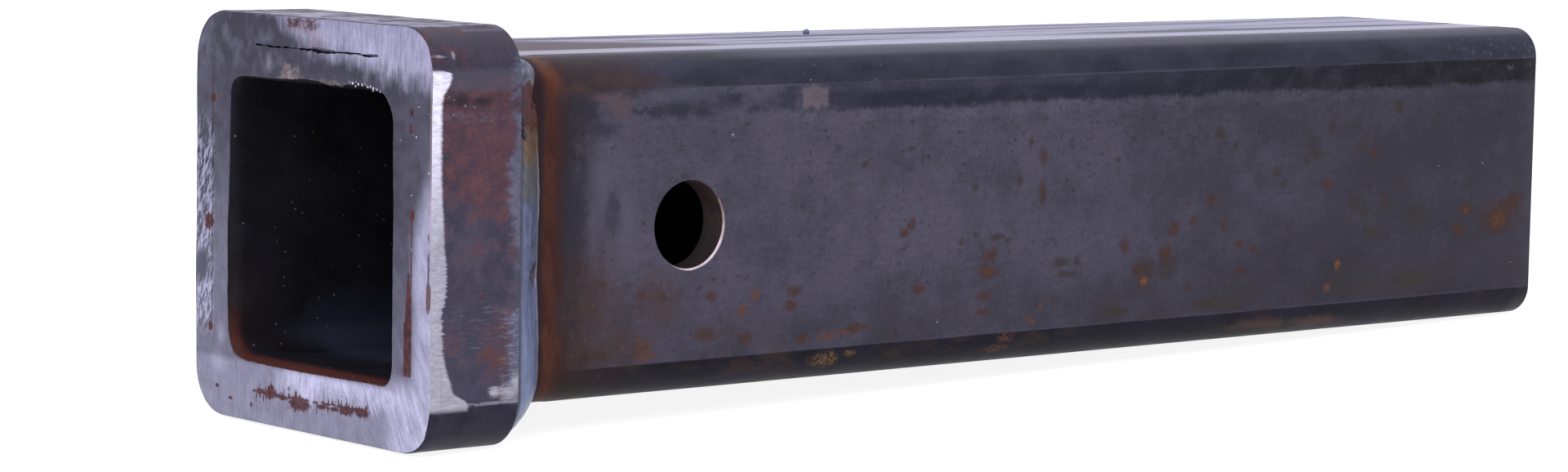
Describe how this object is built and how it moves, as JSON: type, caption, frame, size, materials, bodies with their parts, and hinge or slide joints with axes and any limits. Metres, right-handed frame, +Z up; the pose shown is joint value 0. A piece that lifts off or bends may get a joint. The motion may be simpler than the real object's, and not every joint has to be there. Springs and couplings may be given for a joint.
{
  "type": "weld-on receiver tube",
  "caption": "Square steel receiver tube with a reinforcing collar welded round its mouth and a cross hole for a hitch pin.",
  "frame": {"origin": "under the middle of the tube's length, level with the collar's underside", "axes": "+X along the tube from the mouth to the plain end, +Y across it along the pin hole, +Z up"},
  "size_m": [0.3048, 0.0762, 0.0762],
  "materials": {
    "mill_scale": "blue-grey mill scale with rust specks",
    "ground_steel": "scale and rust on the sides, ground bright on the face",
    "ground_weld": "ground bright, flush with the face",
    "weld_metal": "as welded, with heat tint"
  },
  "bodies": {
    "root": {"receiver_tube": "mill_scale", "collar": "ground_steel", "front_weld": "ground_weld", "rear_weld": "weld_metal"}
  },
  "joints": []
}
